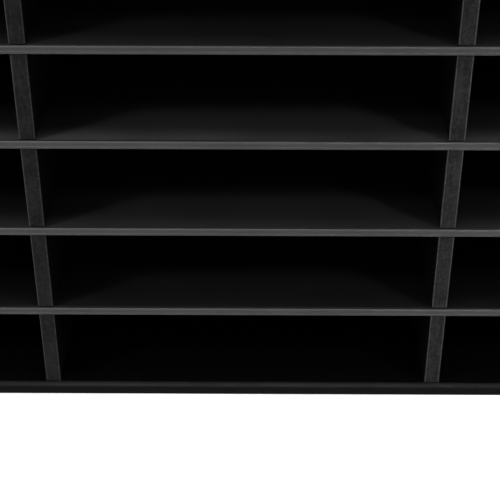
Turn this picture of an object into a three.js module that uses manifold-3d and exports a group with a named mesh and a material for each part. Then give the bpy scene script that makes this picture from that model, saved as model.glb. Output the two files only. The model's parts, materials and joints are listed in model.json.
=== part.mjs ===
// A pigeonhole mail sorter for a desk top: a black board case, two upright dividers and seven
// full-width shelves. Shelves and dividers cross egg-crate fashion, each slotted to half its depth,
// so every shelf can be drawn out of the open front.
// Millimetres, +Z up. The front faces -Y and the origin is under the middle of the case.

import * as THREE from 'three';
import { mergeVertices } from 'three/addons/utils/BufferGeometryUtils.js';
import Module from 'manifold-3d';

// Driving dimensions
const COLUMNS = 3;
const ROWS = 8;
const COLUMN_WIDTH = 228.6;
const ROW_PITCH = 57.15;
const DEPTH = 300;
const BOARD = 9.5;
const SHELF = 5;
const BAND = 2;
const BACK = 3.2;

// Joints between the boards
const DIVIDER_SETBACK = 2.2;
const TRIM_PROUD = 1.2;
const DADO_DEPTH = 3;
const DADO_PLAY = 0.2;
const REBATE_WIDTH = 5;
const BACK_SETBACK = 1;
const BACK_PLAY = 0.3;
const GROOVE_DEPTH = 4;
const GROOVE_END_PLAY = 0.5;
const SLOT_PLAY_BELOW = 0.1;
const SLOT_PLAY_ABOVE = 0.7;
const SLOT_PLAY_SIDE = 0.5;
const SLOT_PLAY_END = 1;
const SHELF_REAR_PLAY = 1.3;

// Sections of the shelf trim and the edge bands
const TRIM_BEAD = 2.4;
const TRIM_SPINE = 1.4;
const TRIM_SPINE_LENGTH = 8;
const TRIM_CORNER = 1;
const TRIM_REEDING = 0.25;
const TRIM_LIP = 1.4;
const KERF_PLAY = 0.1;
const BAND_CORNER = 1.8;
const CORNER_STEPS = 4;

// Fasteners
const HOLE_PLAY = 0.15;
const SCREW = { length: 38, shankRadius: 1.75, headRadius: 3.5, headHeight: 2.2, tip: 4, sides: 12 };
const SCREW_HEAD_RIM = 0.3;
const SCREW_SEAT = 0.2;
const RECESS = { width: 0.9, length: 4, depth: 1.3 };
const CAP = { radius: 4.2, height: 1, bevel: 0.3, sides: 12 };
const PIN = {
  length: 20, shankRadius: 0.8, headRadius: 2.4, crownRadius: 1.7, headHeight: 0.7, tip: 2, sides: 8,
};
const CORNER_SCREW_Y = 105;
const DIVIDER_SCREW_Y = 85;
const PIN_COLUMNS = [-300, -100, 100, 300];
const PIN_ROW = 5;

// Places worked out from the driving dimensions
const CLEAR_HEIGHT = ROW_PITCH - SHELF;
const WIDTH = COLUMNS * COLUMN_WIDTH + (COLUMNS + 1) * BOARD;
const HEIGHT = ROWS * ROW_PITCH - SHELF + 2 * BOARD;
const OUTER_X = WIDTH / 2;
const INNER_X = OUTER_X - BOARD;
const FRONT_Y = -DEPTH / 2;
const REAR_Y = DEPTH / 2;
const BOARD_FRONT_Y = FRONT_Y + BAND;
const DIVIDER_X = (COLUMN_WIDTH + BOARD) / 2;
const DIVIDER_FRONT_Y = FRONT_Y + DIVIDER_SETBACK;
const TRIM_FRONT_Y = DIVIDER_FRONT_Y - TRIM_PROUD;
const BACK_REAR_Y = REAR_Y - BACK_SETBACK;
const BACK_FRONT_Y = BACK_REAR_Y - BACK;
const DIVIDER_REAR_Y = BACK_FRONT_Y - BACK_PLAY;
const SHELF_REAR_Y = BACK_FRONT_Y - SHELF_REAR_PLAY;
const SHELF_FRONT_Y = TRIM_FRONT_Y + TRIM_BEAD;
const MEETING_Y = (DIVIDER_FRONT_Y + DIVIDER_REAR_Y) / 2;
const CEILING_Z = HEIGHT - BOARD;
const SHELF_NUMBERS = Array.from({ length: ROWS - 1 }, (_, index) => index + 1);
const SIDES = { left: -1, right: 1 };
const CLEARANCE = 5;
const WELD_DISTANCE = 1e-3;

const shelfBottom = (number) => BOARD + number * ROW_PITCH - SHELF;

// Finishes

function finish(color, roughness, metalness) {
  return new THREE.MeshStandardMaterial({ color, roughness, metalness });
}

const LAMINATE = finish(0x1b1b1c, 0.55, 0);
const HARDBOARD = finish(0x202020, 0.5, 0);
const EDGE_BAND = finish(0x1e1e1f, 0.4, 0);
const TRIM_PLASTIC = finish(0x484646, 0.45, 0);
const CAP_PLASTIC = finish(0x161616, 0.5, 0);
const BLACK_STEEL = finish(0x2a2a2c, 0.35, 0.9);

const wasm = await Module();
wasm.setup();
const sorter = new THREE.Group();

// Solids

function toSolid(geometry) {
  const bare = geometry.clone();
  bare.deleteAttribute('normal');
  bare.deleteAttribute('uv');
  const merged = mergeVertices(bare, WELD_DISTANCE);
  const corners = merged.index.array;
  const triangles = [];
  for (let i = 0; i < corners.length; i += 3) {
    const [a, b, c] = corners.subarray(i, i + 3);
    if (a !== b && b !== c && c !== a) triangles.push(a, b, c);
  }
  const vertProperties = new Float32Array(merged.attributes.position.array);
  const triVerts = new Uint32Array(triangles);
  return new wasm.Manifold(new wasm.Mesh({ numProp: 3, vertProperties, triVerts }));
}

function toGeometry(solid) {
  const { vertProperties, triVerts } = solid.getMesh();
  const geometry = new THREE.BufferGeometry();
  geometry.setAttribute('position', new THREE.BufferAttribute(vertProperties, 3));
  geometry.setIndex(new THREE.BufferAttribute(triVerts, 1));
  geometry.computeVertexNormals();
  return geometry;
}

function cut(geometry, cutters) {
  const remains = cutters.reduce((solid, cutter) => solid.subtract(toSolid(cutter)), toSolid(geometry));
  return toGeometry(remains);
}

function box([x0, x1], [y0, y1], [z0, z1]) {
  const geometry = new THREE.BoxGeometry(x1 - x0, y1 - y0, z1 - z0);
  return geometry.translate((x0 + x1) / 2, (y0 + y1) / 2, (z0 + z1) / 2);
}

const upTo = (direction) => new THREE.Quaternion().setFromUnitVectors(new THREE.Vector3(0, 1, 0), direction);

// A round solid whose profile, in radius and height, starts at a place and runs along a direction.
function turned(profile, sides, place, direction) {
  const points = profile.map(([radius, height]) => new THREE.Vector2(radius, height));
  return new THREE.LatheGeometry(points, sides).applyQuaternion(upTo(direction)).translate(...place);
}

// A section drawn in depth and height, run along the width of the case.
function moulding(section, [x0, x1]) {
  const settings = { depth: x1 - x0, bevelEnabled: false, curveSegments: CORNER_STEPS };
  const run = new THREE.ExtrudeGeometry(section, settings);
  const across = new THREE.Matrix4().set(0, 0, 1, x0, 1, 0, 0, 0, 0, 1, 0, 0, 0, 0, 0, 1);
  return run.applyMatrix4(across);
}

function addPiece(name, geometry, material) {
  const piece = new THREE.Mesh(geometry, material);
  piece.name = name;
  sorter.add(piece);
}

// A span of some width about a centre, and a span between two distances out on one side of the case.
const span = (centre, width) => [centre - width / 2, centre + width / 2];
const mirrored = (sign, inner, outer) => (sign > 0 ? [inner, outer] : [-outer, -inner]);

// Fasteners and the holes they stand in

function screw(place, direction) {
  const { length, shankRadius, headRadius, headHeight, tip, sides } = SCREW;
  const profile = [
    [0, 0], [headRadius, 0], [headRadius, SCREW_HEAD_RIM], [shankRadius, headHeight],
    [shankRadius, length - tip], [0, length],
  ];
  const crossSlots = [[RECESS.length, RECESS.width], [RECESS.width, RECESS.length]].map(([x, z]) => {
    const slot = new THREE.BoxGeometry(x, 2 * RECESS.depth, z);
    return slot.applyQuaternion(upTo(direction)).translate(...place);
  });
  return cut(turned(profile, sides, place, direction), crossSlots);
}

function screwHole(place, direction) {
  const head = SCREW.headRadius + HOLE_PLAY;
  const shank = SCREW.shankRadius + HOLE_PLAY;
  const depth = SCREW.length + HOLE_PLAY;
  const profile = [
    [0, -CLEARANCE], [head, -CLEARANCE], [head, SCREW_HEAD_RIM + HOLE_PLAY],
    [shank, SCREW.headHeight + HOLE_PLAY], [shank, depth], [0, depth],
  ];
  return turned(profile, SCREW.sides, place, direction);
}

function cap(place, direction) {
  const { radius, height, bevel, sides } = CAP;
  const profile = [[0, 0], [radius - bevel, 0], [radius, bevel], [radius, height], [0, height]];
  return turned(profile, sides, place, direction);
}

function pin(place, direction) {
  const { length, shankRadius, headRadius, crownRadius, headHeight, tip, sides } = PIN;
  const profile = [
    [0, -headHeight], [crownRadius, -headHeight], [headRadius, -headHeight / 2], [headRadius, 0],
    [shankRadius, 0], [shankRadius, length - tip], [0, length],
  ];
  return turned(profile, sides, place, direction);
}

// A straight round hole from outside the face at a place.
function drilled(radius, depth, sides, place, direction) {
  const profile = [[0, -CLEARANCE], [radius, -CLEARANCE], [radius, depth], [0, depth]];
  return turned(profile, sides, place, direction);
}

const capHole = (place, direction) =>
  drilled(CAP.radius + HOLE_PLAY, CAP.height + SCREW_SEAT, CAP.sides, place, direction);
const pinHole = (place, direction) =>
  drilled(PIN.shankRadius + HOLE_PLAY, PIN.length + HOLE_PLAY, PIN.sides, place, direction);

// Where the fasteners go

const INTO_DEPTH = new THREE.Vector3(0, -1, 0);
const UPWARDS = new THREE.Vector3(0, 0, 1);
const LEVELS = { base: BOARD / 2, top: HEIGHT - BOARD / 2 };
const PLACES_Y = { front: -1, rear: 1 };

const cornerScrews = [];
for (const [side, sign] of Object.entries(SIDES)) {
  for (const [level, z] of Object.entries(LEVELS)) {
    for (const [end, way] of Object.entries(PLACES_Y)) {
      const direction = new THREE.Vector3(-sign, 0, 0);
      const y = way * CORNER_SCREW_Y;
      const face = [sign * OUTER_X, y, z];
      const seat = [sign * (OUTER_X - CAP.height - SCREW_SEAT), y, z];
      cornerScrews.push({ name: `${side}_${level}_${end}`, side, level, direction, face, seat });
    }
  }
}

const dividerScrews = [];
for (const [side, sign] of Object.entries(SIDES)) {
  for (const [end, way] of Object.entries(PLACES_Y)) {
    const seat = [sign * DIVIDER_X, way * DIVIDER_SCREW_Y, SCREW_SEAT];
    dividerScrews.push({ name: `${side}_${end}`, side, seat });
  }
}

const REBATE_MIDDLE = REBATE_WIDTH / 2;
const basePins = PIN_COLUMNS.map((x) => [x, BACK_REAR_Y, BOARD - REBATE_MIDDLE]);
const topPins = PIN_COLUMNS.map((x) => [x, BACK_REAR_Y, CEILING_Z + REBATE_MIDDLE]);
const PIN_Z = BOARD + (PIN_ROW - 1) * ROW_PITCH + CLEAR_HEIGHT / 2;
const sidePins = Object.values(SIDES).map((sign) => [sign * (INNER_X + REBATE_MIDDLE), BACK_REAR_Y, PIN_Z]);
const dividerPins = Object.values(SIDES).map((sign) => [sign * DIVIDER_X, BACK_REAR_Y, PIN_Z]);
const backPins = [...basePins, ...sidePins, ...dividerPins, ...topPins];

const pinHoles = (places) => places.map((place) => pinHole(place, INTO_DEPTH));
const cornerHoles = (chosen) => chosen.map(({ seat, direction }) => screwHole(seat, direction));
const dividerHoles = (chosen) => chosen.map(({ seat }) => screwHole(seat, UPWARDS));

// Case

// The base or the top: a rebate for the back, and dados for the divider ends that the edge band closes.
function levelPanel(level, z, insideZ, inwards, pins) {
  const downTo = (depth) => [insideZ - inwards * depth, insideZ + inwards * CLEARANCE].sort((a, b) => a - b);
  const dados = Object.values(SIDES).map((sign) => box(
    span(sign * DIVIDER_X, BOARD + 2 * DADO_PLAY),
    [FRONT_Y - CLEARANCE, REAR_Y + CLEARANCE],
    downTo(DADO_DEPTH + DADO_PLAY)));
  const rebate = box(
    [-OUTER_X, OUTER_X],
    [BACK_FRONT_Y, REAR_Y + CLEARANCE],
    downTo(REBATE_WIDTH));
  const screws = cornerHoles(cornerScrews.filter((place) => place.level === level));
  const blank = box([-INNER_X, INNER_X], [BOARD_FRONT_Y, REAR_Y], z);
  return cut(blank, [...dados, rebate, ...screws, ...pinHoles(pins)]);
}

const basePanel = cut(levelPanel('base', [0, BOARD], BOARD, 1, basePins), dividerHoles(dividerScrews));
const topPanel = levelPanel('top', [CEILING_Z, HEIGHT], CEILING_Z, -1, topPins);
addPiece('base_panel', basePanel, LAMINATE);
addPiece('top_panel', topPanel, LAMINATE);

// The grooves that the shelf ends run in, open at the front of a side and its edge band.
function shelfGrooves(sign) {
  const x = mirrored(sign, INNER_X - CLEARANCE, INNER_X + GROOVE_DEPTH);
  return SHELF_NUMBERS.map((number) => {
    const low = shelfBottom(number) - SLOT_PLAY_BELOW;
    const high = shelfBottom(number) + SHELF + SLOT_PLAY_ABOVE;
    return box(x, [FRONT_Y - CLEARANCE, BACK_FRONT_Y + CLEARANCE], [low, high]);
  });
}

function sidePanel(side, sign) {
  const rebate = box(
    mirrored(sign, INNER_X - CLEARANCE, INNER_X + REBATE_WIDTH),
    [BACK_FRONT_Y, REAR_Y + CLEARANCE],
    [BOARD - REBATE_WIDTH, CEILING_Z + REBATE_WIDTH]);
  const corners = cornerScrews.filter((place) => place.side === side);
  const capHoles = corners.map(({ face, direction }) => capHole(face, direction));
  const pins = pinHoles(sidePins.filter(([x]) => Math.sign(x) === sign));
  const blank = box(mirrored(sign, INNER_X, OUTER_X), [BOARD_FRONT_Y, REAR_Y], [0, HEIGHT]);
  return cut(blank, [...shelfGrooves(sign), rebate, ...cornerHoles(corners), ...capHoles, ...pins]);
}

for (const [side, sign] of Object.entries(SIDES)) {
  addPiece(`${side}_side`, sidePanel(side, sign), LAMINATE);
}

const backOverlap = REBATE_WIDTH - BACK_PLAY;
const backPanel = box(
  span(0, 2 * (INNER_X + backOverlap)),
  [BACK_FRONT_Y, BACK_REAR_Y],
  [BOARD - backOverlap, CEILING_Z + backOverlap]);
addPiece('back_panel', cut(backPanel, pinHoles(backPins)), HARDBOARD);

// Edge bands: plastic strips with rounded front corners on the front edges of the case.
// The section is drawn in depth and thickness of the board that it covers.
function bandSection(low, high) {
  const section = new THREE.Shape();
  section.moveTo(BOARD_FRONT_Y, low);
  section.lineTo(BOARD_FRONT_Y, high);
  section.lineTo(FRONT_Y + BAND_CORNER, high);
  section.absarc(FRONT_Y + BAND_CORNER, high - BAND_CORNER, BAND_CORNER, Math.PI / 2, Math.PI);
  section.lineTo(FRONT_Y, low + BAND_CORNER);
  section.absarc(FRONT_Y + BAND_CORNER, low + BAND_CORNER, BAND_CORNER, Math.PI, 1.5 * Math.PI);
  section.closePath();
  return section;
}

addPiece('base_edge_band', moulding(bandSection(0, BOARD), [-INNER_X, INNER_X]), EDGE_BAND);
addPiece('top_edge_band', moulding(bandSection(CEILING_Z, HEIGHT), [-INNER_X, INNER_X]), EDGE_BAND);
for (const [side, sign] of Object.entries(SIDES)) {
  const lying = moulding(bandSection(-BOARD / 2, BOARD / 2), [-HEIGHT, 0]);
  const upright = lying.rotateY(Math.PI / 2).translate(sign * (INNER_X + BOARD / 2), 0, 0);
  addPiece(`${side}_edge_band`, cut(upright, shelfGrooves(sign)), EDGE_BAND);
}

// Dividers: front slots to half the depth, where the shelves slide in.
function divider(side, sign) {
  const x = span(sign * DIVIDER_X, BOARD);
  const slots = SHELF_NUMBERS.map((number) => box(
    span(sign * DIVIDER_X, BOARD + CLEARANCE),
    [FRONT_Y - CLEARANCE, MEETING_Y + SLOT_PLAY_END],
    [shelfBottom(number) - SLOT_PLAY_BELOW, shelfBottom(number) + SHELF + SLOT_PLAY_ABOVE]));
  const screws = dividerHoles(dividerScrews.filter((place) => place.side === side));
  const pins = pinHoles(dividerPins.filter(([place]) => Math.sign(place) === sign));
  const blank = box(x, [DIVIDER_FRONT_Y, DIVIDER_REAR_Y], [BOARD - DADO_DEPTH, CEILING_Z + DADO_DEPTH]);
  return cut(blank, [...slots, ...screws, ...pins]);
}

for (const [side, sign] of Object.entries(SIDES)) {
  addPiece(`${side}_divider`, divider(side, sign), LAMINATE);
}

// Shelves: rear slots to half the depth, ends that run in the side grooves, and a kerf for the trim.
function shelf(number) {
  const low = shelfBottom(number);
  const high = low + SHELF;
  const kerf = box(
    [-OUTER_X, OUTER_X],
    [SHELF_FRONT_Y - CLEARANCE, SHELF_FRONT_Y + TRIM_SPINE_LENGTH + KERF_PLAY],
    span(low + SHELF / 2, TRIM_SPINE + 2 * KERF_PLAY));
  const slots = Object.values(SIDES).map((sign) => box(
    span(sign * DIVIDER_X, BOARD + 2 * SLOT_PLAY_SIDE),
    [MEETING_Y, SHELF_REAR_Y + CLEARANCE],
    [low - CLEARANCE, high + CLEARANCE]));
  const blank = box(
    span(0, 2 * (INNER_X + GROOVE_DEPTH - GROOVE_END_PLAY)),
    [SHELF_FRONT_Y, SHELF_REAR_Y],
    [low, high]);
  return cut(blank, [...slots, kerf]);
}

// Trim: a bead along the front edge of a shelf, flush above and below, held by a spine in the kerf.
// The bead has round corners and a shallow reed between them.
function trimSection() {
  const front = TRIM_FRONT_Y;
  const rear = SHELF_FRONT_Y;
  const top = SHELF;
  const [spineLow, spineHigh] = span(SHELF / 2, TRIM_SPINE);
  const section = new THREE.Shape();
  section.moveTo(rear, 0);
  section.lineTo(rear, spineLow);
  section.lineTo(rear + TRIM_SPINE_LENGTH, spineLow);
  section.lineTo(rear + TRIM_SPINE_LENGTH, spineHigh);
  section.lineTo(rear, spineHigh);
  section.lineTo(rear, top);
  section.lineTo(front + TRIM_CORNER, top);
  section.absarc(front + TRIM_CORNER, top - TRIM_CORNER, TRIM_CORNER, Math.PI / 2, Math.PI);
  section.lineTo(front, top - TRIM_LIP);
  section.lineTo(front + TRIM_REEDING, top - TRIM_LIP - TRIM_REEDING);
  section.lineTo(front + TRIM_REEDING, TRIM_LIP + TRIM_REEDING);
  section.lineTo(front, TRIM_LIP);
  section.lineTo(front, TRIM_CORNER);
  section.absarc(front + TRIM_CORNER, TRIM_CORNER, TRIM_CORNER, Math.PI, 1.5 * Math.PI);
  section.closePath();
  return section;
}

for (const number of SHELF_NUMBERS) {
  const length = span(0, 2 * (INNER_X - GROOVE_END_PLAY));
  const trim = moulding(trimSection(), length).translate(0, 0, shelfBottom(number));
  addPiece(`shelf_${number}`, shelf(number), HARDBOARD);
  addPiece(`shelf_trim_${number}`, trim, TRIM_PLASTIC);
}

// Fasteners

for (const { name, face, seat, direction } of cornerScrews) {
  addPiece(`corner_screw_${name}`, screw(seat, direction), BLACK_STEEL);
  addPiece(`screw_cap_${name}`, cap(face, direction), CAP_PLASTIC);
}
for (const { name, seat } of dividerScrews) {
  addPiece(`divider_screw_${name}`, screw(seat, UPWARDS), BLACK_STEEL);
}
backPins.forEach((place, index) => {
  addPiece(`back_pin_${index + 1}`, pin(place, INTO_DEPTH), BLACK_STEEL);
});

export default sorter;
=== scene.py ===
# Looks of a black pigeonhole mail sorter. Metres, +Z up, with the open front towards -Y.

import json
import math

import bmesh
import bpy
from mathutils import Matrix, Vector


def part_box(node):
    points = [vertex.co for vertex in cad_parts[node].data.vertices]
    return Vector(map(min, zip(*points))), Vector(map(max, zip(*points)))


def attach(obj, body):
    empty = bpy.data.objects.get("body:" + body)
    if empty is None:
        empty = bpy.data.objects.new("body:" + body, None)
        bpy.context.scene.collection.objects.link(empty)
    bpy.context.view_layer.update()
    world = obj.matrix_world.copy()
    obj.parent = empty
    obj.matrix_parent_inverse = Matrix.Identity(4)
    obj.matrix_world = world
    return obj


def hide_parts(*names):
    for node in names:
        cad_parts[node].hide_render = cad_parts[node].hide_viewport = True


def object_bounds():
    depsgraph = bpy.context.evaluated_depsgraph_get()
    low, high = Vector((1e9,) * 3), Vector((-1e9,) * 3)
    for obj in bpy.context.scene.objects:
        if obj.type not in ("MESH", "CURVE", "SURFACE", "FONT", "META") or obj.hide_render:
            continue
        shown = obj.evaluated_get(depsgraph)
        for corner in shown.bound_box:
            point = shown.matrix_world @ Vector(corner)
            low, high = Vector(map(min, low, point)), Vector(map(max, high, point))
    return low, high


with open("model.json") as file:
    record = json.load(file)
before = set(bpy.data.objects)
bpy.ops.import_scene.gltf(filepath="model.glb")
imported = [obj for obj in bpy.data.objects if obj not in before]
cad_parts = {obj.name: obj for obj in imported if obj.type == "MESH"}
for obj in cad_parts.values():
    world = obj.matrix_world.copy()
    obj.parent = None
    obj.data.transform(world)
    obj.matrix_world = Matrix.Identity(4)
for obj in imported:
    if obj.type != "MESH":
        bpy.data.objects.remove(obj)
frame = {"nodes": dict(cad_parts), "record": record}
cad_low, cad_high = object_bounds()

MM = 0.001
SIDES = ("left", "right")

# Places from the frame
FRONT = cad_low.y
BOARD_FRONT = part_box("base_panel")[0].y
SHELF_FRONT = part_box("shelf_1")[0].y
MIDDLE_HALF_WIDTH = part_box("right_divider")[0].x

# Camera, fitted to the edges in the photograph
CAMERA_PLACE = (0.0069, -0.7561, 0.5097)
CAMERA_TURN_DEGREES = (56.604, -0.085, 0.277)
CAMERA_LENS_MM = 89.44
SENSOR_MM = 36.0

# Eased edges
BOARD_EASE = 0.8 * MM
DIVIDER_EASE = 0.9 * MM
SHEET_EASE = 0.3 * MM
EASE_STEPS = 2
SHORTEST_EASED_EDGE = 3 * MM

# Joining the triangles of a CAD node
MERGE_DISTANCE = 0.01 * MM
FLAT_ANGLE = math.radians(1)
SHARP_ANGLE = math.radians(35)

# Telling faces apart by how far their normals point along an axis
AXES = {"x": 0, "y": 1, "z": 2}
LEAST_SLOPE = 0.1
BROAD_SIDE = 0.5
FLAT_FACE = 0.9

# Press marks on the rough side of the hardboard: waves, in radians for each metre
SCREEN_PITCH = 1.8 * MM
SCREEN_WAVE = math.tau / SCREEN_PITCH

# Painted light along the front of the shelves, and painted shade on their outer columns
LIT_FRONT_DEPTH = 26 * MM  # from the front edge to where it has faded out
COLUMN_BLEND = 9.5 * MM  # width of the change to the painted shade of the outer columns beside a divider
LEFT_FRONT_LIGHT = 1.3  # share of the painted light on the left half
RIGHT_FRONT_LIGHT = 0.7  # and on the right half
LEFTWARD_BLEND = 50 * MM  # how far the change between them reaches on each side of the middle
PALEST_TONE = 5.0  # the palest tone, as a multiple of the board's own

# How far down its front the painted highlight on the edge band of the base and top reaches
HIGHLIGHT_HEIGHT = 4.0 * MM


# Shader maths

# Sockets of a Mix node that mixes colours
MIX_FACTOR = 0
MIX_LOW = 6
MIX_HIGH = 7
MIX_RESULT = 2


class Shade:
    """A shader socket. Arithmetic on it adds Math nodes, and node() adds any other node."""

    def __init__(self, tree, socket=None):
        self.tree = tree
        self.socket = socket

    def node(self, kind, settings=None, sockets=None, output=0):
        """Adds a node, with its settings first and then the values or links of its sockets."""
        made = self.tree.nodes.new(kind)
        for name, value in (settings or {}).items():
            setattr(made, name, value)
        for name, value in (sockets or {}).items():
            if isinstance(value, Shade):
                self.tree.links.new(value.socket, made.inputs[name])
            else:
                made.inputs[name].default_value = value
        return Shade(self.tree, made.outputs[output] if made.outputs else None)

    def math(self, operation, *values):
        return self.node("ShaderNodeMath", {"operation": operation}, dict(enumerate(values)))

    def __add__(self, other):
        return self.math("ADD", self, other)

    def __sub__(self, other):
        return self.math("SUBTRACT", self, other)

    def __rsub__(self, other):
        return self.math("SUBTRACT", other, self)

    def __mul__(self, other):
        return self.math("MULTIPLY", self, other)

    __radd__ = __add__
    __rmul__ = __mul__

    def sine(self):
        return self.math("SINE", self)

    def magnitude(self):
        return self.math("ABSOLUTE", self)

    def step(self, low, high):
        """0 below low, 1 above high and a smooth rise between them."""
        sockets = {"Value": self, "From Min": low, "From Max": high}
        return self.node("ShaderNodeMapRange", {"interpolation_type": "SMOOTHSTEP"}, sockets)

    def mix(self, low, high):
        """The colour low where this is 0 and high where it is 1."""
        sockets = {MIX_FACTOR: self, MIX_LOW: low, MIX_HIGH: high}
        return self.node("ShaderNodeMix", {"data_type": "RGBA"}, sockets, output=MIX_RESULT)

    def coordinate(self, axis):
        """The X, Y or Z of a place."""
        return self.node("ShaderNodeSeparateXYZ", {}, {"Vector": self}, output=axis)

    def length(self):
        """How far a place is from the origin."""
        return self.node("ShaderNodeVectorMath", {"operation": "LENGTH"}, {0: self}, output="Value")


def grey(level, redness=0.0):
    return (level * (1 + redness), level, level, 1.0)


def new_material(name):
    material = bpy.data.materials.new(name)
    material.use_nodes = True
    material.node_tree.nodes.clear()
    return material, Shade(material.node_tree)


def object_place(shade, stretch=(1, 1, 1)):
    place = shade.node("ShaderNodeTexCoord", output="Object")
    return shade.node("ShaderNodeMapping", {}, {"Vector": place, "Scale": stretch})


def noise(place, size, detail=2.0, roughness=0.5):
    sockets = {"Vector": place, "Scale": 1 / size, "Detail": detail, "Roughness": roughness}
    return place.node("ShaderNodeTexNoise", {}, sockets)


def grains(place, size):
    """Distance to the nearest of scattered points about one size apart."""
    return place.node("ShaderNodeTexVoronoi", {}, {"Vector": place, "Scale": 1 / size})


def mark(shade, name):
    """The number that a mesh keeps under a name: 0 where it has none."""
    return shade.node("ShaderNodeAttribute", {"attribute_name": name}, output="Fac")


def bump(height, depth, strength):
    sockets = {"Height": height, "Distance": depth, "Strength": strength}
    return height.node("ShaderNodeBump", {}, sockets)


def surface(shade, sockets):
    shader = shade.node("ShaderNodeBsdfPrincipled", {}, sockets)
    shade.node("ShaderNodeOutputMaterial", {}, {"Surface": shader})


# Finishes

def black_board(name, face_level, cut_level, highlight_level, shine):
    """Laminated board with pebbled faces and a painted highlight on its eased corners.

    Its painted cut edges show the speckle and the pits of the board inside.
    """
    material, shade = new_material(name)
    place = object_place(shade)
    cut = mark(shade, "cut")
    eased = mark(shade, "eased")
    cloud = noise(place, 60 * MM, detail=4.0)
    pebble = noise(place, 0.5 * MM, roughness=0.6)
    fibre = noise(place, 2.2 * MM, detail=4.0, roughness=0.75)
    patches = noise(place, 11 * MM, detail=3.0)
    streaks = noise(object_place(shade, (1, 1, 0.12)), 1.1 * MM)
    scuffs = noise(object_place(shade, (1, 0.15, 1)), 4 * MM, detail=5.0, roughness=0.6).step(0.62, 0.8)
    pits = 1 - grains(place, 2.4 * MM).step(0.12, 0.3)
    face_colour = cloud.mix(grey(face_level * 0.8), grey(face_level * 1.2))
    face_colour = (scuffs * 0.4).mix(face_colour, grey(face_level * 2.5))
    speckle = (fibre * 0.5 + streaks * 0.25 + patches * 0.25).step(0.36, 0.64)
    cut_colour = speckle.mix(grey(cut_level * 0.4), grey(cut_level * 1.5))
    cut_colour = (pits * 0.6).mix(cut_colour, grey(cut_level * 0.3))
    colour = cut.mix(face_colour, cut_colour)
    # Painted highlight: the eased corners are made paler, in patches along the fibre.
    painted_highlight = eased * (0.45 + 0.55 * fibre.step(0.3, 0.6))
    relief = pebble * (1 - cut) + (fibre - 0.5 * pits) * cut * 3
    surface(shade, {
        "Base Color": painted_highlight.mix(colour, grey(highlight_level)),
        "Roughness": 0.5 + 0.06 * cloud + 0.2 * cut,
        "Specular IOR Level": shine,
        "Normal": bump(relief, depth=0.05 * MM, strength=0.5),
    })
    return material


def black_hardboard(name, level):
    """Smooth pressed board, with the mesh of the press on faces marked screen.

    Painted light makes it paler along the front, most on the left; painted shade darkens the outer
    columns behind the front.
    """
    material, shade = new_material(name)
    place = object_place(shade)
    across, along, upward = (place.coordinate(axis) for axis in "XYZ")
    screen = mark(shade, "screen")
    cloud = noise(place, 45 * MM, detail=4.0)
    fibre = noise(object_place(shade, (0.3, 1, 1)), 3 * MM, detail=5.0, roughness=0.65)
    tooth = noise(place, 0.6 * MM)
    dust = 1 - grains(place, 14 * MM).step(0.015, 0.04)
    # Painted light: paler towards the front edge, more on the left half.
    near_front = 1 - along.step(SHELF_FRONT, SHELF_FRONT + LIT_FRONT_DEPTH)
    leftward = LEFT_FRONT_LIGHT - (LEFT_FRONT_LIGHT - RIGHT_FRONT_LIGHT) * across.step(-LEFTWARD_BLEND, LEFTWARD_BLEND)
    painted_light = mark(shade, "painted_front_light") * near_front * near_front * (0.5 + cloud) * leftward
    # Painted shade: the outer columns are darker behind the front.
    outer = across.magnitude().step(MIDDLE_HALF_WIDTH, MIDDLE_HALF_WIDTH + COLUMN_BLEND)
    outer_shade = mark(shade, "outer_shade") * outer * (1 - near_front)
    tone = mark(shade, "tone") * (0.7 + 0.36 * cloud + 0.24 * fibre) * (1 + painted_light) * (1 - outer_shade)
    colour = (tone * (1 / PALEST_TONE)).mix(grey(0.0), grey(level * PALEST_TONE))
    mesh_rows = (across * SCREEN_WAVE).sine() + ((along + upward) * SCREEN_WAVE).sine()
    relief = tooth * 0.6 + fibre * 0.6 + mesh_rows * screen
    surface(shade, {
        "Base Color": (dust * 0.3).mix(colour, grey(level * 4.0)),
        "Roughness": 0.42 + 0.16 * fibre + 0.15 * screen,
        "Specular IOR Level": 0.1,
        "Normal": bump(relief, depth=0.05 * MM, strength=0.4),
    })
    return material


def charcoal_moulding(name, level):
    """Extruded plastic with draw lines, a mottled tone, painted highlights on its round corners and
    painted shade on its upper face.
    """
    material, shade = new_material(name)
    place = object_place(shade)
    lengthwise = object_place(shade, (0.02, 1, 1))
    eased = mark(shade, "eased")
    shaded_top = mark(shade, "shaded_top")
    lines = noise(lengthwise, 0.7 * MM, detail=3.0, roughness=0.6)
    tone = noise(object_place(shade, (0.3, 1, 1)), 14 * MM, detail=4.0, roughness=0.6)
    grain = noise(place, 1.6 * MM, detail=3.0, roughness=0.6)
    scuffs = noise(lengthwise, 2.2 * MM).step(0.6, 0.75)
    mottle = (0.45 * tone + 0.35 * lines + 0.2 * grain).step(0.25, 0.75)
    colour = mottle.mix(grey(level * 0.72, redness=0.08), grey(level * 1.28, redness=0.03))
    # Painted highlight on the round corners, added to the real scuffs.
    painted_highlight = eased * (0.4 + 0.6 * grain)
    colour = (scuffs * 0.25 + painted_highlight * 0.75).mix(colour, grey(level * 1.6, redness=0.03))
    surface(shade, {
        # Painted shade: the upper face is darker.
        "Base Color": shaded_top.mix(colour, grey(level * 0.25)),
        "Roughness": 0.42 + 0.16 * lines,
        "Specular IOR Level": 0.2,
        "Normal": bump(lines + 0.5 * grain, depth=0.04 * MM, strength=0.5),
    })
    return material


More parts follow.
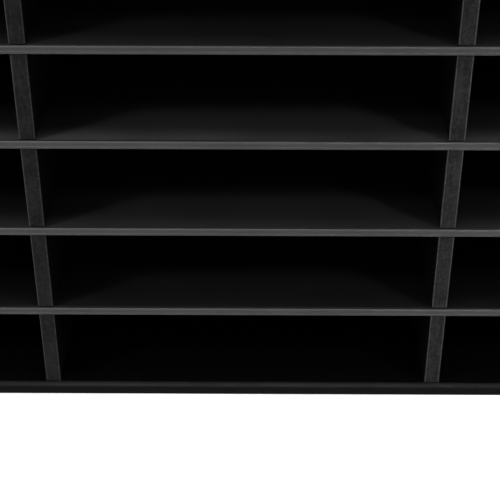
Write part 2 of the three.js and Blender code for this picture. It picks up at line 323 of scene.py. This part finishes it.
def black_band(name, level):
    """Matte plastic edging with a fine orange-peel skin and a painted highlight on its upper round
    corner.
    """
    material, shade = new_material(name)
    place = object_place(shade)
    drawn_out = object_place(shade, (0.15, 1, 0.6))
    upper = mark(shade, "upper")
    peel = noise(place, 0.9 * MM)
    tone = noise(place, 30 * MM, detail=3.0)
    scuffs = noise(drawn_out, 3 * MM, detail=5.0, roughness=0.6).step(0.58, 0.75)
    blotches = noise(object_place(shade, (0.2, 1, 1)), 6 * MM, detail=4.0, roughness=0.6).step(0.35, 0.65)
    # Painted highlight: the upper round corner and the front below it are made paler.
    painted_highlight = upper * upper * (0.55 + 0.45 * blotches)
    colour = tone.mix(grey(level * 0.8), grey(level * 1.2))
    surface(shade, {
        "Base Color": (scuffs * 0.15 + painted_highlight).mix(colour, grey(level * 8)),
        "Roughness": 0.45 + 0.15 * tone + 0.1 * scuffs,
        "Specular IOR Level": 0.04,
        "Normal": bump(peel, depth=0.03 * MM, strength=0.4),
    })
    return material


def black_steel(name):
    """Blackened screws and pins, worn a little bright in places."""
    material, shade = new_material(name)
    blotches = noise(object_place(shade), 1.2 * MM, detail=3.0).step(0.5, 0.75)
    surface(shade, {
        "Base Color": blotches.mix(grey(0.03), grey(0.12)),
        "Roughness": 0.36 + 0.2 * blotches,
        "Metallic": 0.85,
        "Normal": bump(blotches, depth=0.02 * MM, strength=0.4),
    })
    return material


CASE_BOARD = black_board(
    "black_case_laminate", face_level=0.014, cut_level=0.016, highlight_level=0.06, shine=0.25)
# The base is a much darker copy of the case laminate: painted shade on the bottom of the lowest
# compartments.
BASE_BOARD = black_board(
    "black_base_laminate", face_level=0.0008, cut_level=0.0057, highlight_level=0.026, shine=0.05)
# The divider faces are much darker than the case laminate, painted shade inside the compartments; the
# right divider is a lighter copy of the left, painted light on its front edge and corners.
DIVIDER_BOARDS = {
    "left": black_board(
        "black_left_divider", face_level=0.0015, cut_level=0.0122, highlight_level=0.044, shine=0.08),
    "right": black_board(
        "black_right_divider", face_level=0.0015, cut_level=0.0195, highlight_level=0.07, shine=0.08),
}
HARDBOARD = black_hardboard("black_hardboard", level=0.0104)
TRIM_PLASTIC = charcoal_moulding("charcoal_trim", level=0.053)
BAND_PLASTIC = black_band("black_edge_band", level=0.0038)
CAP_PLASTIC = black_band("black_cap", level=0.02)
FASTENER_STEEL = black_steel("black_fastener")


# Pieces

def merged_copy(node):
    """A CAD node's triangles joined into one closed mesh with whole flat faces."""
    mesh = bmesh.new()
    mesh.from_mesh(frame["nodes"][node].data)
    bmesh.ops.remove_doubles(mesh, verts=mesh.verts[:], dist=MERGE_DISTANCE)
    bmesh.ops.dissolve_limit(mesh, angle_limit=FLAT_ANGLE, verts=mesh.verts[:], edges=mesh.edges[:])
    mesh.normal_update()
    return mesh


def new_object(mesh, name, material):
    """Makes the mesh an object of one material, at the origin."""
    data = bpy.data.meshes.new(name)
    mesh.to_mesh(data)
    mesh.free()
    data.materials.append(material)
    made = bpy.data.objects.new(name, data)
    bpy.context.scene.collection.objects.link(made)
    return made


def body_of(node):
    return next(body for body, nodes in frame["record"]["behaviour"]["bodies"].items() if node in nodes)


def stand_for(mesh, node, name, material):
    """Makes the mesh an object that stands for a CAD node and moves with its body."""
    piece = new_object(mesh, name, material)
    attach(piece, body_of(node))
    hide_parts(node)


def mark_faces(mesh, name, value_of):
    """Keeps a number for every face under a name, for the finishes to read."""
    layer = mesh.faces.layers.float.new(name)
    for face in mesh.faces:
        face[layer] = float(value_of(face))


def ease_edges(mesh, width, axis, kept_square=lambda edge: False):
    """Rounds the long outer edges and marks the half of each corner beside a cut edge as eased."""
    chosen = [
        edge for edge in mesh.edges
        if edge.is_convex and edge.calc_face_angle(0.0) > SHARP_ANGLE
        and edge.calc_length() > SHORTEST_EASED_EDGE and not kept_square(edge)
    ]
    eased = mesh.faces.layers.float.new("eased")
    rounded = bmesh.ops.bevel(
        mesh, geom=chosen, offset=width, offset_type="OFFSET", affect="EDGES",
        segments=EASE_STEPS, profile=0.5, material=-1, clamp_overlap=True)
    mesh.normal_update()
    for face in rounded["faces"]:
        face[eased] = float(abs(face.normal[axis]) < BROAD_SIDE)


def shade_smooth(mesh):
    """Smooth shading over the round parts of a mesh."""
    for face in mesh.faces:
        face.smooth = True
    for edge in mesh.edges:
        edge.smooth = edge.calc_face_angle(0.0) < SHARP_ANGLE


def under_band(edge):
    """True for the edges of a case board that its edge band covers."""
    return all(abs(corner.co.y - BOARD_FRONT) < MERGE_DISTANCE for corner in edge.verts)


def across_divider(edge):
    """True for the short edges that run through the thickness of a divider, at its slots and ends."""
    start, end = (corner.co for corner in edge.verts)
    return abs(start.x - end.x) > MERGE_DISTANCE


def board(node, thickness, ease, material, kept_square):
    """A board with eased edges. Every face but its two broad sides counts as a cut edge."""
    mesh = merged_copy(node)
    axis = AXES[thickness]
    ease_edges(mesh, ease, axis, kept_square)
    mark_faces(mesh, "cut", lambda face: abs(face.normal[axis]) < BROAD_SIDE)
    stand_for(mesh, node, f"{node}_board", material)


def sheet(node, thickness, rough_side, marks):
    """A hardboard sheet. Its rough side, 1 or -1 along its thickness, has the marks of the press."""
    mesh = merged_copy(node)
    axis = AXES[thickness]
    ease_edges(mesh, SHEET_EASE, axis)
    mark_faces(mesh, "screen", lambda face: rough_side * face.normal[axis] > FLAT_FACE)
    for name, value in marks.items():
        mark_faces(mesh, name, lambda face: value)
    stand_for(mesh, node, f"{node}_sheet", HARDBOARD)


def trim_strip(node):
    """The strip along a shelf's front, with its round corners and its upper face marked for painted
    highlight and shade.
    """
    mesh = merged_copy(node)
    mark_faces(mesh, "eased", lambda face: LEAST_SLOPE < abs(face.normal.z) < FLAT_FACE)
    mark_faces(mesh, "shaded_top", lambda face: face.normal.z > FLAT_FACE)
    shade_smooth(mesh)
    stand_for(mesh, node, f"{node}_strip", TRIM_PLASTIC)


def mark_highlit_front(mesh, top):
    """Marks the round upper corner of a band, and its front down to where the painted highlight fades
    out.
    """
    fade_end = top - HIGHLIGHT_HEIGHT
    everything = mesh.verts[:] + mesh.edges[:] + mesh.faces[:]
    bmesh.ops.bisect_plane(mesh, geom=everything, plane_co=(0, 0, fade_end), plane_no=(0, 0, 1))
    mesh.normal_update()
    upper = mesh.verts.layers.float.new("upper")
    for corner in mesh.verts:
        if corner.normal.y < 0 and corner.co.z > fade_end + MERGE_DISTANCE:
            corner[upper] = 1 - corner.normal.z ** 2


def edge_band(node, painted_highlight=False):
    """The band on the front edge of a case board, with its front marked for a painted highlight if it
    has one.
    """
    mesh = merged_copy(node)
    if painted_highlight:
        mark_highlit_front(mesh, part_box(node)[1].z)
    shade_smooth(mesh)
    stand_for(mesh, node, f"{node}_strip", BAND_PLASTIC)


# Case

board("base_panel", "z", BOARD_EASE, BASE_BOARD, under_band)
board("top_panel", "z", BOARD_EASE, CASE_BOARD, under_band)
for side in SIDES:
    board(f"{side}_side", "x", BOARD_EASE, CASE_BOARD, under_band)
    board(f"{side}_divider", "x", DIVIDER_EASE, DIVIDER_BOARDS[side], across_divider)
    edge_band(f"{side}_edge_band")
for level in ("base", "top"):
    edge_band(f"{level}_edge_band", painted_highlight=True)
sheet("back_panel", "y", rough_side=1, marks={"tone": 1.0})


# Shelves, whose boards differ in tone, shelves 1 and 4 darker as painted shade, and in the painted
# light along their fronts

# Shelves 1 and 4 are darker as painted shade; the other tones differ at random.
SHELF_TONES = {1: 0.53, 2: 0.95, 3: 1.06, 4: 0.53, 5: 0.9, 6: 1.0, 7: 0.85}
SHELF_FRONT_LIGHT = {1: 0.1, 2: 0.55, 3: 1.5, 4: 0.6, 5: 1.0, 6: 0.7, 7: 0.5}
# How dark the painted shade on the outer columns behind the front is
OUTER_SHADE = 0.65

for number, shelf_tone in SHELF_TONES.items():
    shelf_marks = {"tone": shelf_tone, "painted_front_light": SHELF_FRONT_LIGHT[number], "outer_shade": OUTER_SHADE}
    sheet(f"shelf_{number}", "z", rough_side=-1, marks=shelf_marks)
    trim_strip(f"shelf_trim_{number}")


# Fasteners

CAP_RADIUS = 4.2 * MM
CAP_HEIGHT = 1.0 * MM
CAP_RIM = 0.3 * MM
CAP_DIMPLE_RADIUS = 1.1 * MM
CAP_DIMPLE = 0.25 * MM
PIN_RADIUS = 2.4 * MM
PIN_HEAD = 0.7 * MM
PIN_DOME = 0.5 * MM
PIN_SHANK = 0.8 * MM
PIN_LENGTH = 20 * MM
PIN_TIP = 2 * MM
ROUND_STEPS = 40
ARC_STEPS = 4


def quarter_arc(centre, across, up):
    """Points of a quarter of an ellipse, from straight out of its centre to straight above it."""
    middle, height = centre
    angles = [math.radians(90) * step / ARC_STEPS for step in range(ARC_STEPS + 1)]
    return [(middle + across * math.cos(angle), height + up * math.sin(angle)) for angle in angles]


def turned(profile):
    """A round solid spun about Z from points of radius and height that start and end on the axis."""
    mesh = bmesh.new()
    corners = [mesh.verts.new((radius, 0, height)) for radius, height in profile]
    edges = [mesh.edges.new(pair) for pair in zip(corners, corners[1:])]
    bmesh.ops.spin(
        mesh, geom=corners + edges, cent=(0, 0, 0), axis=(0, 0, 1), angle=math.tau,
        steps=ROUND_STEPS, use_merge=True)
    bmesh.ops.remove_doubles(mesh, verts=mesh.verts[:], dist=MERGE_DISTANCE)
    bmesh.ops.recalc_face_normals(mesh, faces=mesh.faces[:])
    shade_smooth(mesh)
    return mesh


def set_down(mesh, place, outwards):
    """Turns a mesh made along +Z to point outwards and moves it to its place."""
    turn = Vector((0, 0, 1)).rotation_difference(outwards).to_matrix().to_4x4()
    turn.translation = place
    bmesh.ops.transform(mesh, matrix=turn, verts=mesh.verts[:])


def screw_cap(node):
    """A flush cover cap with a rounded rim and a small moulded dimple."""
    low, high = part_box(node)
    outwards = Vector((math.copysign(1, low.x), 0, 0))
    face = Vector((max(low.x, high.x, key=abs), (low.y + high.y) / 2, (low.z + high.z) / 2))
    underside = [(0, -CAP_HEIGHT), (CAP_RADIUS, -CAP_HEIGHT)]
    rim = quarter_arc((CAP_RADIUS - CAP_RIM, -CAP_RIM), CAP_RIM, CAP_RIM)
    dimple = quarter_arc((0, 0), CAP_DIMPLE_RADIUS, -CAP_DIMPLE)
    mesh = turned(underside + rim + dimple)
    set_down(mesh, face, outwards)
    stand_for(mesh, node, f"{node}_disc", CAP_PLASTIC)


def back_pin(node):
    """A round-headed pin whose head lies on the back panel."""
    low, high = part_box(node)
    head_top = Vector(((low.x + high.x) / 2, high.y, (low.z + high.z) / 2))
    point = -PIN_HEAD - PIN_LENGTH
    shank = [(0, point), (PIN_SHANK, point + PIN_TIP), (PIN_SHANK, -PIN_HEAD), (PIN_RADIUS, -PIN_HEAD)]
    dome = quarter_arc((0, -PIN_DOME), PIN_RADIUS, PIN_DOME)
    mesh = turned(shank + dome)
    set_down(mesh, head_top, Vector((0, 1, 0)))
    stand_for(mesh, node, f"{node}_nail", FASTENER_STEEL)


for node, cad_object in frame["nodes"].items():
    if node.startswith("screw_cap"):
        screw_cap(node)
    elif node.startswith("back_pin"):
        back_pin(node)
    elif "screw" in node:
        cad_object.data.materials.clear()
        cad_object.data.materials.append(FASTENER_STEEL)


# Floor and surroundings

FLOOR_RADIUS = 12
FLOOR_SEGMENTS = 64
FLOOR_DROP = 0.2 * MM
FLOOR_WHITE = 0.9
FLOOR_LIFT = 0.63  # white added to the floor's own, near the object, where it is seen
FLOOR_FADE_START = 0.8
FLOOR_FADE_END = 3.0
AMBIENT = 0.1
SHOWING_RAYS = ("Is Camera Ray", "Is Glossy Ray", "Is Transmission Ray")


def seen_directly(shade):
    """1 for the rays that show the surroundings, 0 for those that light the object."""
    seen, mirrored, passed_on = (shade.node("ShaderNodeLightPath", output=ray) for ray in SHOWING_RAYS)
    return seen + mirrored + passed_on


def pale_floor():
    """White paper that keeps the shadow of the object and fades to plain white further out."""
    material, shade = new_material("pale_floor")
    paper = shade.node("ShaderNodeBsdfDiffuse", {}, {"Color": grey(FLOOR_WHITE)})
    far_off = object_place(shade).length().step(FLOOR_FADE_START, FLOOR_FADE_END)
    lift = far_off.mix(grey(FLOOR_LIFT), grey(1.0))
    glow = shade.node("ShaderNodeEmission", {}, {"Color": lift, "Strength": seen_directly(shade)})
    both = shade.node("ShaderNodeAddShader", {}, {0: paper, 1: glow})
    shade.node("ShaderNodeOutputMaterial", {}, {"Surface": both})
    mesh = bmesh.new()
    bmesh.ops.create_circle(mesh, cap_ends=True, radius=FLOOR_RADIUS, segments=FLOOR_SEGMENTS)
    bmesh.ops.translate(mesh, verts=mesh.verts[:], vec=(0, 0, -FLOOR_DROP))
    floor = new_object(mesh, "floor", material)


def pale_world():
    """White where it is seen, and a little light from all round."""
    world = bpy.data.worlds.new("surroundings")
    world.use_nodes = True
    world.node_tree.nodes.clear()
    shade = Shade(world.node_tree)
    strength = AMBIENT + seen_directly(shade) * (1 - AMBIENT)
    air = shade.node("ShaderNodeBackground", {}, {"Color": grey(1.0), "Strength": strength})
    shade.node("ShaderNodeOutputWorld", {}, {"Surface": air})
    bpy.context.scene.world = world


pale_floor()
pale_world()


# Lights: two narrow ones from the front, soft ones from above and below, and two for the rear

KEY_LAMP = {"distance": 1.2, "size": (0.24, 0.4), "watts": 0.45, "spread": 20.4}
REAR_LAMP = {"elevation": 35, "distance": 2.6, "aim": (0, 0, 0.2), "size": (1.0, 1.0), "watts": 45}


def softbox(name, azimuth, elevation, distance, aim, size, watts, spread=180):
    """A rectangular lamp aimed at a point. Azimuth 0 is straight in front and 90 is to the right."""
    round_turn = math.radians(azimuth)
    rise = math.radians(elevation)
    reach = math.cos(rise)
    towards = Vector((math.sin(round_turn) * reach, -math.cos(round_turn) * reach, math.sin(rise)))
    data = bpy.data.lights.new(name, "AREA")
    data.shape = "RECTANGLE"
    data.size, data.size_y = size
    data.energy = watts
    data.spread = math.radians(spread)
    lamp = bpy.data.objects.new(name, data)
    lamp.location = Vector(aim) + towards * distance
    lamp.rotation_euler = towards.to_track_quat("Z", "Y").to_euler()
    lamp.visible_camera = False
    bpy.context.scene.collection.objects.link(lamp)


softbox("key_right", azimuth=44, elevation=39.5, aim=(0.3, FRONT, 0.34), **KEY_LAMP)
softbox("key_left", azimuth=-53, elevation=37.8, aim=(-0.3, FRONT, 0.34), **KEY_LAMP)
softbox(
    "overhead", azimuth=0, elevation=78, distance=1.2, aim=(0, FRONT, 0.16), size=(0.8, 0.25),
    watts=3.85)
softbox(
    "low_fill", azimuth=0, elevation=-5, distance=0.45, aim=(0, FRONT, 0.08), size=(1.0, 0.05),
    watts=0.25, spread=80)
softbox("rear_right", azimuth=145, **REAR_LAMP)
softbox("rear_left", azimuth=-145, **REAR_LAMP)


# Camera

camera = bpy.data.objects.new("camera", bpy.data.cameras.new("camera"))
camera.data.lens = CAMERA_LENS_MM
camera.data.sensor_width = SENSOR_MM
camera.location = CAMERA_PLACE
camera.rotation_euler = [math.radians(angle) for angle in CAMERA_TURN_DEGREES]
bpy.context.scene.collection.objects.link(camera)
bpy.context.scene.camera = camera
bpy.context.scene.view_settings.view_transform = "Standard"
